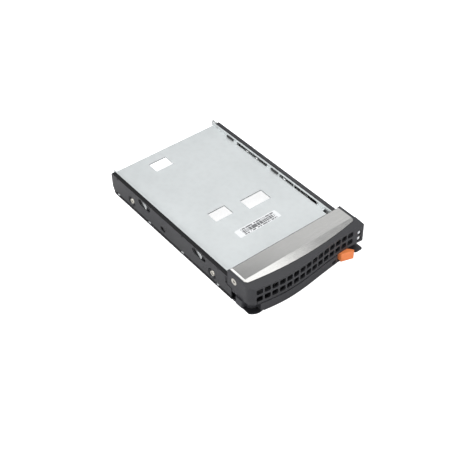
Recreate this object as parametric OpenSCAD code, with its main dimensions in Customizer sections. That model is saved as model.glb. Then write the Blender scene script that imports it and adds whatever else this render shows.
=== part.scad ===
// Hot-swap drive tray for a 3.5-inch bay, with a plate that carries a 2.5-inch drive.
// Two folded steel rails, a galvanised adapter between them, and a moulded bezel with a
// swinging handle in front. Millimetres. +X is right and -Y is the front, z = 0 is the
// face that the rails and the bezel rest on, and the origin is below the tray's middle.

/* [Drives] */
// Width of a 3.5-inch drive, which the adapter copies
bay_drive_w = 101.6; // [96:0.1:124]
// From the connector end to the first side screw of a 3.5-inch drive
bay_screw_start = 28.5; // [24:0.1:34]
// From the first to the middle side screw of a 3.5-inch drive
bay_screw_mid = 41.6; // [36:0.1:50]
// From the first to the last side screw of a 3.5-inch drive
bay_screw_pitch = 101.6; // [85:0.1:105]
// Height of the side screws above the tray's underside
bay_screw_z = 8; // [7.5:0.1:10.5]
// Width of a 2.5-inch drive
drive_w = 69.85; // [58:0.05:84]
// Length of a 2.5-inch drive
drive_len = 100.45; // [84:0.05:121]
// Height of the tallest 2.5-inch drive
drive_h = 15; // [14.5:0.1:18.5]
// Height of the 2.5-inch drive's underside above the tray's underside
drive_lift = 0.5; // [0.3:0.1:0.9]
// How far the 2.5-inch drive stands off the right side plate
drive_off = 2.275; // [1.9:0.005:3]
// From the connector end to the first side screw of a 2.5-inch drive
drive_screw_start = 14; // [12:0.1:17]
// From the first to the last side screw of a 2.5-inch drive
drive_screw_pitch = 76.6; // [64:0.1:80]
// Height of the side screws above the 2.5-inch drive's underside
drive_screw_z = 3; // [2.7:0.1:3.6]

/* [Rails] */
// Length of a rail
rail_len = 151.8; // [150:0.1:190]
// How far the rails stand above the deck
rail_rise = 2.9; // [2.6:0.1:3.6]
// Thickness of the rail's steel sheet
rail_t = 1; // [0.8:0.05:1.2]
// Width of a rail's top and bottom lips
rail_lip = 3.1; // [2.6:0.1:3.1]
// Room between a rail's web and the adapter
rail_gap = 1.5; // [1.4:0.05:2]
// How far the rail's rear end bends inwards
lead_in = 0.3; // [0.2:0.1:1]
// Length of that bent end
lead_len = 3; // [2:0.1:5]
// Height of the cut lower rear corner of a rail
rear_cut_z = 6.4; // [4:0.1:8]
// Length of the cut lower rear corner of a rail
rear_cut_y = 3.8; // [2:0.1:6]
// Radius of the dimple round each rail screw
dimple_r = 4.6; // [4.2:0.1:5.5]

/* [Adapter] */
// Thickness of the galvanised sheet
plate_t = 1; // [0.8:0.05:1.1]
// How far the deck stands out behind the rails
deck_out = 1.5; // [0:0.1:3]
// Distance from the connector plane back to the rails' rear ends
connector_out = 0.8; // [0:0.1:2]
// Width of the stop tab's window in the deck
stop_w = 20.6; // [12:0.1:26]
// Length of each side tab along the rails
tab_len = 11; // [9:0.1:13]
// Length of the locating lugs' spacing along the rails
lug_pitch = 42.5; // [38:0.1:48]

/* [Bezel] */
// How far the bezel stands above the rails
bezel_rise = 5.6; // [5.2:0.1:7]
// From the bezel's rear edge to the middle of its wavy face
bezel_depth = 27; // [26:0.1:33]
// How far the bezel's sides stand in from the rails' outer faces
bezel_in = 0.3; // [0.1:0.05:0.6]
// Height of the underside of the bezel's upper box
box_z = 8.5; // [8.3:0.1:9.2]
// Thickness of the bezel's side walls
bezel_wall = 1.8; // [1.6:0.1:2]
// Height of the wave in the front face, from its middle to its crest
bow = 2.3; // [1:0.1:3]
// Columns of vents
vent_columns = 15; // [8:1:15]
// Spacing of the vent columns
vent_pitch = 6.2; // [5.6:0.1:6.4]
// Width of a vent
vent_w = 5; // [3:0.1:5.2]
// Height of a vent
vent_h = 4.7; // [3:0.1:5]
// Thickness of the cover sheet
cover_t = 0.8; // [0.6:0.05:1]

/* [Handle and latch] */
// Radius of the handle's pivot pin
pivot_r = 1.5; // [1.3:0.05:1.8]
// Radial running clearance of the pins
run_gap = 0.06; // [0.03:0.01:0.1]
// Clearance above, below and beside the moving pieces
move_gap = 0.35; // [0.25:0.05:0.4]
// Radius of the handle's hub
hub_r = 5; // [4.6:0.1:5.4]
// Travel of the release tab
tab_travel = 3; // [2:0.1:3.5]
// How far the release tab stands out in front of the face
tab_reach = 4.6; // [3.5:0.1:5]

/* [Hidden] */
$fn = 48;
over = 1;            // how far a cut runs past the face it opens
seam = 0.05;         // gap between pieces that bear on each other
fit_gap = 0.15;      // gap between a piece and the pocket that holds it

// Across the tray
side_x = bay_drive_w/2;              // outer face of the side plates
web_x = side_x + rail_gap + rail_t;  // outer face of the rails
deck_x = side_x - plate_t - seam;    // outer face of the deck's turned-up edges
lip_x = web_x - rail_lip;            // inner edge of the rails' lips
bezel_x = web_x - bezel_in;          // outer face of the bezel's sides
drive_right = side_x - plate_t - drive_off;
drive_left = drive_right - drive_w;

// Along the tray
ear_lap = 4.7;                       // how far the rails' lower webs reach under the ears
pipe_out = 5.3;                      // how far the light pipes stand out behind the rails
rail_rear = (rail_len - ear_lap + bezel_depth + bow - pipe_out)/2;
rail_front = rail_rear - rail_len;
bezel_rear = rail_front + ear_lap;
face_mid = bezel_rear - bezel_depth;
connector_y = rail_rear + connector_out;
deck_rear = rail_rear + deck_out;
deck_front = bezel_rear + 1.9;
plate_rear = rail_rear - 0.2;
drive_front = connector_y - drive_len;
bay_screws = [connector_y - bay_screw_start, connector_y - bay_screw_start - bay_screw_pitch];
bay_middle = connector_y - bay_screw_start - bay_screw_mid;
drive_screws = [connector_y - drive_screw_start,
    connector_y - drive_screw_start - drive_screw_pitch];

// Heights
deck_z = drive_lift + drive_h;       // underside of the deck
deck_top = deck_z + plate_t;
rail_h = deck_top + rail_rise;
bezel_h = rail_h + bezel_rise;
edge_top = rail_h - 0.2;             // top of the deck's turned-up edges
plate_z = rail_t + 0.1;              // lower edge of the side plates
plate_top = rail_h - rail_t - 0.2;
drive_hole_z = drive_lift + drive_screw_z;

// Rail details
rear_top_r = 2;
screw_dimple_r = dimple_r - 1;       // floor of the dimple
side_hole_r = 1.75;                  // 6-32 screw in the rails and the clinch nuts
side_head_r = 2.5;
side_head_t = 1.2;
access_r = 3.6;                      // driver hole in the right rail for the drive screws
lug_start = 8.8;
lug_count = floor((rail_len - ear_lap - lug_start - 8)/lug_pitch) + 1;
lugs = [for (i = [0:lug_count - 1]) rail_rear - lug_start - i*lug_pitch];
lug_r = 1.6;
lug_z = 2.2;
lug_out = 0.55;                      // how far a lug stands proud of the rail
pip_z = rail_h - 1.4;                // pressed pips near the rail's top
pip_r = 1.2;
pip_out = 0.35;

// Sprung contact tongues, lanced from the side plates and bowed out through the rails
tongue_h = 4;
tongue_len = 11.2;
tongue_t = 0.6;
tongue_z = rail_h - 4;
tongue_out = 0.5;
slot_h = 5.4;
slot_len = 15.6;
left_tongues = [rail_rear - 45.5, rail_rear - 114.5];
right_tongues = [rail_rear - 45.5, rail_rear - 80];
tongue_back = slot_len/2 - 0.3;      // root of a tongue behind the middle of its slot
right_tongue_z = 11;

// Long slots in the right edge of the deck, and the light pipes behind it
slot_rows = [[31, 69], [84.2, 100.9], [101.5, 128.3]];
slot_top = edge_top - 0.8;
slot_x = deck_x - plate_t - 0.8;     // inner edge of those slots
pipe_window = [100, 126];
pipe_w = 1.2;
pipe_h = 1.6;
clip_rows = [22.7, 78.5];
clip_hook = 8;                       // length of a clip's hook through the deck's edge
hook_z = deck_top + 0.6;
hook_top = rail_h - rail_t - 0.1;

// Fixing of the bezel to the rails
tongue_low = rail_h - 7.4;
ear_z = 11;                          // top of the rails' lower webs under the ears
ear_screw_y = bezel_rear - 7.3;
ear_screw_z = bezel_h - 5.7;
ear_hole_r = 1.5;
ear_head_r = 2.75;
joggle_x = bezel_x - bezel_wall - 0.1;   // outer face of the tongues inside the ears

// Front wave and corners
crest_x = -20;
fall_left = 46;
fall_right = 58;
corner_r = 7;
small_r = 0.5;
right_out = 0.9;                     // how far the right side stands out past the left one
bend_y = bezel_rear - 15.1;          // where the top starts to slope
top_slope = 4.6;
face_t = 1.4;
box_floor = 1.6;
roof_t = 1.7;
cover_x = side_x;                    // outer face of the cover's side edges
cover_z = bezel_h - 0.5;             // underside of the cover
roof_z = cover_z - roof_t;           // underside of the roof
thick_z = roof_z - 0.5;              // underside of the roof below the cover's side edges
cover_rise = 3.9;                    // bulge of the cover's front edge
cover_front = bend_y - 3.4;
cover_edge_h = 1;
cover_corner = 3;
vent_z = [box_z + 11.6, box_z + 4.9];
vent_mid_x = -2.2;
vent_r = 1.1;
pipe_x = bezel_x - 4.8;              // the pipes where they pass the rail's tongue
led_x = bezel_x - 3.2;
led_w = 3.4;
led_h = 4.2;
// heights of the two light pipes: at the rear, under the deck, and at the face
pipe_z = [[rail_h - 2.1, deck_z - 0.95, vent_z[0] - 2.2],
    [rail_h - 4.4, deck_z - 2.7, vent_z[1] - 1]];

// Shielding sheet behind the vents
screen_t = 0.8;
screen_y = face_mid + bow + face_t + 0.3;
screen_x = [7 - bezel_x, bezel_x - 8];

// Handle recess
shelf_t = 1.2;
shelf_front = face_mid + 2.1;
shelf_corner = 5;
shelf_right = bezel_x + right_out - 0.1;
recess_back = rail_front;            // front face of the recess's rear wall
recess_wall = 1.4;
recess_x = lip_x - 0.3;              // half-width of what lies between the rails
right_wall_front = bezel_rear - 18.4;
low_z = shelf_t + move_gap;          // underside of the handle above the shelf
high_z = box_z - move_gap;           // top of the handle
lip_z = 0.3;                         // underside of the lip in front of the shelf
corner_sweep = 9.2;                  // radius of the shelf's left corner about the pivot

// Handle
pivot = [7.5 - bezel_x, face_mid + 9.1];
proud = 0.4;                         // how far the handle stands proud of the face
lip_left = pivot[0] + 2.8;           // left end of its lip
handle_right = bezel_x - 22.2;
handle_back = face_mid + 7.5;
handle_end_r = 3;
nose_x = -bezel_x - 1.1;
nose_y = pivot[1] + 5.8;
spring_r = 2.7;
spring_wire = 0.5;
spring_pocket_z = high_z - 3.4;
rib_pitch = 14;
rib_t = 1.6;

// Release tab
tab_left = handle_right + move_gap;
tab_point = [bezel_x - 10.8, face_mid - 2.4];
tab_neck = bezel_x - 14;
tab_back = face_mid + 16.5;
tab_arm_x = bezel_x - 10;
guide = [bezel_x - 17.6, face_mid + 14];
guide_r = 1.2;
coil_r = 2.1;
coil_wire = 0.4;
coil_y = tab_back - 2.7;
coil_z = (low_z + high_z)/2;
coil_end = bezel_x - 3;                       // where the release spring bears on the bezel

// y of the front face at x: a wave, steeper to the left of its crest
function wave(x) = face_mid - bow*cos(180*(x - crest_x)/(x < crest_x ? fall_left : fall_right));
function wave_slope(x) = let (fall = x < crest_x ? fall_left : fall_right)
    bow*PI/fall*sin(180*(x - crest_x)/fall);
function arc(c, r, a0, a1, n = 6) =
    [for (i = [0:n]) let (a = a0 + (a1 - a0)*i/n) c + r*[cos(a), sin(a)]];
function wave_pts(x0, x1, back = 0, n = 40) =
    [for (i = [0:n]) let (x = x0 + (x1 - x0)*i/n) [x, wave(x) + back]];
function round_rect(w, h, r) = concat(arc([w/2 - r, h/2 - r], r, 0, 90, 3),
    arc([r - w/2, h/2 - r], r, 90, 180, 3), arc([r - w/2, r - h/2], r, 180, 270, 3),
    arc([w/2 - r, r - h/2], r, 270, 360, 3));

// Prism along X of an outline drawn in the side view, as [y, z]
module side_prism(x0, x1) {
    translate([x0, 0, 0]) rotate([90, 0, 90]) linear_extrude(x1 - x0) children();
}

// Prism along Y of an outline drawn in the front view, as [x, z]
module front_prism(y0, y1) {
    translate([0, y1, 0]) rotate([90, 0, 0]) linear_extrude(y1 - y0) children();
}

// Round bar along X
module x_rod(r, x0, x1, y, z, r2 = undef) {
    translate([x0, y, z]) rotate([0, 90, 0])
        cylinder(h = x1 - x0, r1 = r, r2 = is_undef(r2) ? r : r2);
}

// Slot with round ends that runs along Y and is cut along X
module x_slot(len, h, x0, x1, y, z) {
    translate([x0, y - len/2 + h/2, z - h/2]) cube([x1 - x0, len - h, h]);
    for (s = [-1, 1]) x_rod(h/2, x0, x1, y + s*(len - h)/2, z);
}

module box(x0, x1, y0, y1, z0, z1) {
    translate([x0, y0, z0]) cube([x1 - x0, y1 - y0, z1 - z0]);
}

module on_left() {
    mirror([1, 0, 0]) children();
}

// ---- Rails ----

// Folded channel of the right rail, before its holes
module rail_channel() {
    front_cut = rail_front - over;
    rear_cut = rail_rear + over;
    slope_x = lead_in*(lead_len + over)/lead_len;
    intersection() {
        difference() {
            linear_extrude(rail_h) polygon([[web_x, rail_front], [web_x, rail_rear - lead_len],
                [web_x - lead_in, rail_rear], [lip_x, rail_rear], [lip_x, rail_front]]);
            translate([0, 0, rail_t]) linear_extrude(rail_h - 2*rail_t)
                polygon([[web_x - rail_t, front_cut], [web_x - rail_t, rail_rear - lead_len],
                    [web_x - rail_t - slope_x, rear_cut], [lip_x - over, rear_cut],
                    [lip_x - over, front_cut]]);
        }
        side_prism(lip_x - over, web_x + over) polygon(concat(
            [[rail_front, 0], [rail_rear - rear_cut_y, 0], [rail_rear, rear_cut_z]],
            arc([rail_rear - rear_top_r, rail_h - rear_top_r], rear_top_r, 0, 90),
            [[bezel_rear + fit_gap, rail_h], [bezel_rear + fit_gap, ear_z], [rail_front, ear_z]]));
    }
}

// Tongue that steps inwards behind the bezel's ear and takes the ear's screw
module ear_tongue() {
    in_x = joggle_x - rail_t;
    step = web_x - joggle_x;
    start = bezel_rear + fit_gap + step;
    end = ear_screw_y - 6;
    top = thick_z - fit_gap;
    collar_r = ear_hole_r + 1.2;
    collar_x = joggle_x - 2.2;
    difference() {
        union() {
            intersection() {
                translate([0, 0, tongue_low]) linear_extrude(top - tongue_low)
                    polygon([[web_x, start], [joggle_x, start - step], [joggle_x, end],
                        [in_x, end], [in_x, start - step + rail_t/2],
                        [web_x - rail_t, start + rail_t/2], [web_x - rail_t, start + over],
                        [web_x, start + over]]);
                side_prism(in_x - over, web_x + over) polygon([[start + over, tongue_low],
                    [start + over, rail_h - rail_t], [bezel_rear - fit_gap, rail_h - rail_t],
                    [bezel_rear - fit_gap, top], [end, top], [end, tongue_low]]);
            }
            x_rod(collar_r, collar_x, in_x + seam, ear_screw_y, ear_screw_z);
        }
        x_rod(ear_hole_r + seam, in_x - 2, joggle_x + over, ear_screw_y, ear_screw_z);
    }
}

// The right rail; the tongues' places differ from side to side
module rail(tongues, z_tongue, right) {
    floor_x = web_x - rail_t - rail_gap;
    difference() {
        union() {
            difference() {
                rail_channel();
                // room for the stepped tongue behind the ear
                box(joggle_x, web_x + over, bezel_rear - over, bezel_rear + fit_gap
                    + web_x - joggle_x, tongue_low, rail_h - rail_t);
            }
            ear_tongue();
            for (y = bay_screws)
                x_rod(screw_dimple_r + 0.6, floor_x + seam, web_x - rail_t + seam, y, bay_screw_z,
                    dimple_r + 0.6);
            for (y = lugs)
                x_rod(pip_r, web_x - 0.3, web_x + pip_out, y, pip_z, pip_r - 0.5);
        }
        for (y = bay_screws) {
            x_rod(screw_dimple_r, floor_x + rail_t, web_x + seam, y, bay_screw_z, dimple_r);
            x_rod(side_hole_r + 0.25, floor_x - over, web_x, y, bay_screw_z);
        }
        x_slot(6.4, 4.2, web_x - rail_t - over, web_x + over, bay_middle, bay_screw_z);
        for (y = tongues)
            x_slot(slot_len, slot_h, web_x - rail_t - 0.3, web_x + over, y, z_tongue);
        for (y = lugs) box(web_x - rail_t - over, web_x + over, y - lug_r - 0.4, y + lug_r + 0.4,
            lug_z - 0.3, lug_z + plate_t + 0.5);
        if (right) {
            for (y = drive_screws)
                x_rod(access_r, web_x - rail_t - 0.4, web_x + over, y, drive_hole_z + 1.2);
            // way out for the light pipes
            box(web_x - 3, web_x + over, rail_rear - lead_len - 0.6, rail_rear + over,
                pipe_z[1][0] - pipe_h/2 - 0.4, rail_h - rail_t);
        }
    }
}

module left_rail() {
    color("#3c3c40") on_left() rail(left_tongues, tongue_z, false);
}

module right_rail() {
    color("#3c3c40") rail(right_tongues, right_tongue_z, true);
}

// ---- Adapter ----

// Outline of the deck in the front view: flat, with both edges turned up
module deck_section() {
    r_in = 0.6;
    r_out = r_in + plate_t;
    half = concat([[0, deck_z]],
        arc([deck_x - r_out, deck_z + r_out], r_out, 270, 360),
        [[deck_x, edge_top], [deck_x - plate_t, edge_top]],
        arc([deck_x - r_out, deck_z + r_out], r_in, 360, 270), [[0, deck_top]]);
    polygon(half);
    mirror([1, 0]) polygon(half);
}

// Deck with two side tabs and a stop tab bent down out of their own windows
module adapter_deck() {
    tab_face = drive_left - 0.1;
    tab_drop = deck_top - 0.5;
    stop_x = (drive_left + drive_right)/2 + 3.7;
    stop_y = drive_front - 0.2;
    stop_drop = 11.8;
    hole_r = 1.7;
    color("#cfd5d6") difference() {
        union() {
            front_prism(deck_front, deck_rear) deck_section();
            for (y = drive_screws)
                box(tab_face - plate_t, tab_face, y - tab_len/2, y + tab_len/2, 0.5, deck_z + seam);
            box(stop_x - stop_w/2, stop_x + stop_w/2, stop_y - plate_t, stop_y,
                deck_top - stop_drop, deck_z + seam);
        }
        for (y = drive_screws) {
            box(tab_face, tab_face + tab_drop, y - tab_len/2, y + tab_len/2, deck_z - over,
                deck_top + over);
            x_rod(hole_r, tab_face - plate_t - over, tab_face + over, y, drive_hole_z);
        }
        box(stop_x - stop_w/2, stop_x + stop_w/2, stop_y, stop_y + stop_drop, deck_z - over,
            deck_top + over);
        // slots in the right edge, and openings where the tongues of the side plates start
        for (s = slot_rows) box(slot_x, deck_x + over, rail_rear - s[1], rail_rear - s[0],
            deck_z - over, slot_top);
        for (d = clip_rows) box(deck_x - plate_t - over, deck_x + over,
            rail_rear - d - clip_hook/2 - fit_gap, rail_rear - d + clip_hook/2 + fit_gap,
            hook_z - seam, hook_top + seam);
        for (y = left_tongues) box(-deck_x - over, plate_t - deck_x + over, y - 6, y + 6,
            deck_top + 0.2, deck_top + 1.9);
        box(deck_x - plate_t - 2.2, deck_x + over, deck_front - over, deck_front + 9, deck_z - over,
            deck_top + 0.9);
        x_rod(0.8, deck_x - plate_t - over, deck_x + over, rail_rear - 5, deck_top + 1.2);
    }
}

// Right-hand side plate; the left one is its mirror image with other tongues
module side_plate(tongues, z_tongue, pipes) {
    in_x = side_x - plate_t;
    difference() {
        union() {
            box(in_x, side_x, deck_front, plate_rear, plate_z, plate_top);
            for (y = lugs) {
                box(side_x - seam, web_x - lug_r + lug_out, y - lug_r, y + lug_r, lug_z,
                    lug_z + plate_t);
                translate([web_x - lug_r + lug_out, y, lug_z]) cylinder(r = lug_r, h = plate_t);
            }
        }
        for (y = tongues) x_slot(tongue_len + 1.6, tongue_h + 1, in_x - over, side_x + over,
            y + tongue_back - (tongue_len + 1.6)/2, z_tongue);
        for (y = bay_screws) x_rod(side_hole_r + 0.15, in_x - over, side_x + over, y, bay_screw_z);
        x_rod(1.4, in_x - over, side_x + over, bay_middle, bay_screw_z);
        if (pipes) {
            box(in_x - over, side_x + over, rail_rear - pipe_window[1], rail_rear - pipe_window[0],
                pipe_z[1][1] - pipe_h/2 - 0.5, plate_top - 0.3);
            for (s = [0, 1]) box(in_x - over, side_x + over, rail_rear - slot_rows[s][1],
                rail_rear - slot_rows[s][0], pipe_z[1][0] - pipe_h/2 - 0.5, plate_top - 0.3);
            for (d = clip_rows) box(in_x - over, side_x + over,
                rail_rear - d - clip_hook/2 - fit_gap, rail_rear - d + clip_hook/2 + fit_gap,
                hook_z - seam, plate_top + over);
        }
    }
    for (y = tongues) intersection() {
        linear_extrude(rail_h) tongue_plan(y + tongue_back);
        x_slot(tongue_len + 8, tongue_h, in_x - over, web_x + over,
            y + tongue_back - tongue_len/2 + 4, z_tongue);
    }
}

// Strip bent out from the side plate through the rail, seen from above
module tongue_plan(root) {
    out_x = web_x + tongue_out;
    tip = root - tongue_len;
    polygon([[side_x - tongue_t, root + seam], [side_x, root + seam], [side_x, root - 1],
        [out_x, tip + 0.5], [out_x, tip], [out_x - tongue_t, tip],
        [side_x - tongue_t, root - 1.2]]);
}

module left_side_plate() {
    color("#c3c9ca") on_left() side_plate(left_tongues, tongue_z, false);
}

// The right plate also has hollow pads that hold the drive off the plate
module right_side_plate() {
    in_x = side_x - plate_t;
    pad_x = drive_right + 0.1;
    color("#c3c9ca") difference() {
        union() {
            side_plate(right_tongues, right_tongue_z, true);
            for (y = drive_screws) x_rod(2.6, pad_x, in_x + seam, y, drive_hole_z, 3);
        }
        for (y = drive_screws) {
            x_rod(1.7, pad_x - over, side_x + over, y, drive_hole_z);
            x_rod(2, pad_x + plate_t, side_x + over, y, drive_hole_z, 2.2);
        }
    }
}

// Threaded nuts pressed into the side plates behind the rail screws
module clinch_nuts() {
    in_x = side_x - plate_t;
    color("#b9bcbd") for (s = [-1, 1], y = bay_screws) scale([s, 1, 1]) difference() {
        x_rod(3.1, in_x - 1.6, in_x - 0.01, y, bay_screw_z);
        x_rod(side_hole_r + seam, in_x - 3, in_x + over, y, bay_screw_z);
    }
}

// Cross recess of a screw head whose face is at x = 0 and looks along +X
module cross_recess(depth, span) {
    for (a = [0, 90]) rotate([a, 0, 0])
        box(-depth, over, -span/2, span/2, -span/8, span/8);
}

// Four screws that hold the rails to the adapter
module rail_screws() {
    seat = side_x + rail_t;
    tip = side_x - plate_t - 1.5;
    color("#d2cdbf") for (s = [-1, 1], y = bay_screws) scale([s, 1, 1]) difference() {
        union() {
            x_rod(side_head_r, seat + seam, seat + side_head_t, y, bay_screw_z, side_head_r - 0.5);
            x_rod(side_hole_r, tip, seat + 2*seam, y, bay_screw_z);
        }
        translate([seat + side_head_t, y, bay_screw_z]) cross_recess(0.8, 3);
    }
}

// ---- Bezel ----

// Plan of the bezel's upper box, drawn inwards from its outside by inset; the right side
// stands out by right_more
module box_plan(inset, front_inset, rear, right_more) {
    x_l = -bezel_x + inset;
    x_r = bezel_x + right_more - inset;
    r = corner_r - inset;
    x_c = x_l + r;
    turn = 270 + atan(wave_slope(x_c));
    x_w = x_c + r*cos(turn);
    y_c = wave(x_w) + front_inset - r*sin(turn);
    r2 = small_r;
    polygon(concat([[x_l, rear]], arc([x_c, y_c], r, 180, turn, 10),
        wave_pts(x_w, x_r - r2, front_inset),
        arc([x_r - r2, wave(x_r - r2) + front_inset + r2], r2, 270, 360, 4), [[x_r, rear]]));
}

// Plan of the cover: straight behind, bulging in front, front corners rounded
module cover_plan(grow) {
    x = cover_x + grow;
    r = cover_corner;
    n = 24;
    front = [for (i = [0:n]) let (px = (x - r)*(2*i/n - 1))
        [px, cover_front - grow - cover_rise*(1 - pow(px/(x - r), 2))]];
    polygon(concat([[-x, bezel_rear - grow - over]],
        arc([r - x, cover_front - grow + r], r, 180, 255, 4), front,
        arc([x - r, cover_front - grow + r], r, 285, 360, 4), [[x, bezel_rear - grow - over]]));
}

// Sloping slab over the bezel, between two heights above its flat top
module top_slab(z0, z1, rear) {
    far = 30;
    drop = far*tan(top_slope);
    side_prism(-bezel_x - over, bezel_x + over) polygon([[rear, z0], [bend_y, z0],
        [bend_y - far, z0 - drop], [bend_y - far, z1 - drop], [bend_y, z1], [rear, z1]]);
}

// Plan of the shelf; its right end reaches forward beside the release tab
module shelf_plan() {
    r1 = shelf_corner;
    r2 = 1.2;
    x = bezel_x - 0.1;
    side_rear = rail_front - 0.3;
    back = recess_back + recess_wall;
    step_x = tab_point[0] + tab_travel + 1.2;
    step = 1.2;
    polygon(concat([[-x, side_rear]], arc([r1 - x, shelf_front + r1], r1, 180, 270),
        [[step_x, shelf_front], [step_x + step, shelf_front - step]],
        arc([shelf_right - r2, shelf_front - step + r2], r2, 270, 360),
        [[shelf_right, side_rear], [recess_x, side_rear],
        [recess_x, back], [-recess_x, back], [-recess_x, side_rear]]));
    // the left corner is round about the handle's pivot, so that the lip swings past it
    intersection() {
        translate(pivot) circle(r = corner_sweep);
        translate([-x, pivot[1] - corner_sweep - over])
            square([corner_sweep + over, corner_sweep + over]);
    }
}

module bezel() {
    in_x = bezel_x - bezel_wall;
    low_rear = rail_front - 0.3;
    open_rear = bezel_rear + over;
    pin_top = box_z + box_floor + 2.4;
    color("#434346") difference() {
        union() {
            // upper box
            difference() {
                translate([0, 0, box_z]) linear_extrude(bezel_h - box_z)
                    box_plan(0, 0, bezel_rear, right_out);
                difference() {
                    translate([0, 0, box_z + box_floor])
                        linear_extrude(roof_z - box_z - box_floor)
                        box_plan(bezel_wall, face_t, open_rear, 0);
                    // roof stays thick along the cover's hooked side edges
                    for (s = [-1, 1]) scale([s, 1, 1])
                        box(cover_x - 2, in_x + over, bend_y, open_rear, thick_z, bezel_h);
                }
                // ears clear the rails' lower webs
                for (s = [-1, 1]) scale([s, 1, 1]) box(recess_x, bezel_x + over, low_rear,
                    open_rear, box_z - over, ear_z + 0.3);
            }
            // bosses of the two pins
            translate([pivot[0], pivot[1], box_z]) cylinder(r = 3.2, h = box_floor + 3.6);
            translate([guide[0], guide[1], box_z]) cylinder(r = 3, h = box_floor + 2.4);
            // ribs behind the vent screen
            for (x = [-40, -14, 12, 38])
                box(x - 1, x + 1, screen_y + screen_t + seam, screen_y + screen_t + 3,
                    box_z + 1, box_z + box_floor + 3);
            // handle recess: shelf, rear wall, right end wall and the spring's stop
            linear_extrude(shelf_t) shelf_plan();
            box(-recess_x, recess_x, recess_back, recess_back + recess_wall, 0, box_z + over);
            for (s = [-1, 1]) scale([s, 1, 1]) box(recess_x - recess_wall, recess_x, recess_back,
                bezel_rear, 0, box_z + over);
            box(in_x, shelf_right, right_wall_front, low_rear, 0, box_z + over);
            box(coil_end, in_x + seam, coil_y - 3.4, low_rear, 0, box_z + over);
        }
        top_slab(bezel_h, bezel_h + 6, open_rear);
        // seat of the cover and the grooves of its side edges
        intersection() {
            translate([0, 0, bezel_h - 4]) linear_extrude(8) cover_recess_plan();
            top_slab(cover_z, bezel_h + 6, open_rear);
        }
        for (s = [-1, 1]) scale([s, 1, 1]) box(cover_x - cover_t - fit_gap, cover_x + fit_gap,
            bend_y - fit_gap, open_rear, cover_z - cover_edge_h - fit_gap, bezel_h);
        // the right side is set in behind the bend
        box(bezel_x + right_out - 0.6, bezel_x + over, bend_y - 0.8, open_rear, box_z + 2,
            bezel_h + over);
        // vents and the two indicator windows
        for (i = [0:vent_columns - 1], z = vent_z)
            front_prism(face_mid - 8, face_mid + 8)
                translate([vent_mid_x + (i - (vent_columns - 1)/2)*vent_pitch, z])
                polygon(round_rect(vent_w, vent_h, vent_r));
        for (p = pipe_z) front_prism(face_mid - 8, face_mid + 8) translate([led_x, p[2]])
            polygon(round_rect(led_w, led_h, vent_r));
        // ear screws
        for (s = [-1, 1]) scale([s, 1, 1]) {
            x_rod(ear_hole_r + 0.2, in_x - over, bezel_x + over, ear_screw_y, ear_screw_z);
            x_rod(ear_hole_r + 0.2, bezel_x - 1.3, bezel_x + seam, ear_screw_y, ear_screw_z,
                ear_head_r + 0.1);
            x_rod(ear_head_r + 0.1, bezel_x, bezel_x + over, ear_screw_y, ear_screw_z);
        }
        // holes of the handle's pin and the tab's guide pin
        translate([pivot[0], pivot[1], 0.4]) cylinder(r = pivot_r + 0.02, h = pin_top - 0.4 + 0.6);
        translate([guide[0], guide[1], 0.4]) cylinder(r = guide_r + 0.02, h = pin_top - 0.4 - 0.6);
    }
}

// The cover's outline with clearance, run out through the bezel's rear edge
module cover_recess_plan() {
    cover_plan(fit_gap);
    translate([-cover_x - fit_gap, bezel_rear - fit_gap - 2*over])
        square([2*(cover_x + fit_gap), 5]);
}

// Brushed sheet over the bezel, bent along the top and hooked in at both sides
module bezel_cover() {
    color("#b9b8b3") union() {
        intersection() {
            translate([0, 0, bezel_h - 6]) linear_extrude(10) cover_plan(0);
            top_slab(cover_z + seam, cover_z + seam + cover_t, bezel_rear + over);
        }
        for (s = [-1, 1]) scale([s, 1, 1]) box(cover_x - cover_t, cover_x, bend_y,
            bezel_rear - over, cover_z - cover_edge_h, cover_z + 2*seam);
    }
}

// Two countersunk screws through the ears
module bezel_screws() {
    tip = joggle_x - rail_t - 2.2;
    color("#d2cdbf") for (s = [-1, 1]) scale([s, 1, 1]) difference() {
        union() {
            x_rod(ear_hole_r, bezel_x - 1.25, bezel_x, ear_screw_y, ear_screw_z, ear_head_r);
            x_rod(ear_hole_r, tip, bezel_x - 1.2, ear_screw_y, ear_screw_z);
        }
        translate([bezel_x, ear_screw_y, ear_screw_z]) cross_recess(0.8, 2.6);
    }
}

// Perforated shielding sheet that stands behind the vents
module vent_screen() {
    z0 = box_z + box_floor + seam;
    z1 = cover_z - roof_t - 1.2;
    pitch = 3.4;
    rows = 3;
    n = floor((screen_x[1] - screen_x[0] - 4)/pitch);
    mid = (screen_x[0] + screen_x[1])/2;
    color("#2b2b2d") difference() {
        box(screen_x[0], screen_x[1], screen_y, screen_y + screen_t, z0, z1);
        for (j = [0:rows - 1], i = [0:n - 1 - j % 2])
            translate([mid + (i - (n - 1 - j % 2)/2)*pitch, screen_y + screen_t + over,
                (z0 + z1)/2 + (j - 1)*pitch])
            rotate([90, 0, 0]) cylinder(r = 1.3, h = screen_t + 2*over, $fn = 12);
    }
}

// ---- Light pipes ----

// Square bar that runs through a list of points, mostly along Y
module bar(points, w, h) {
    for (i = [0:len(points) - 2]) hull() for (p = [points[i], points[i + 1]])
        translate(p - [w/2, 0.005, h/2]) cube([w, 0.01, h]);
}

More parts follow.
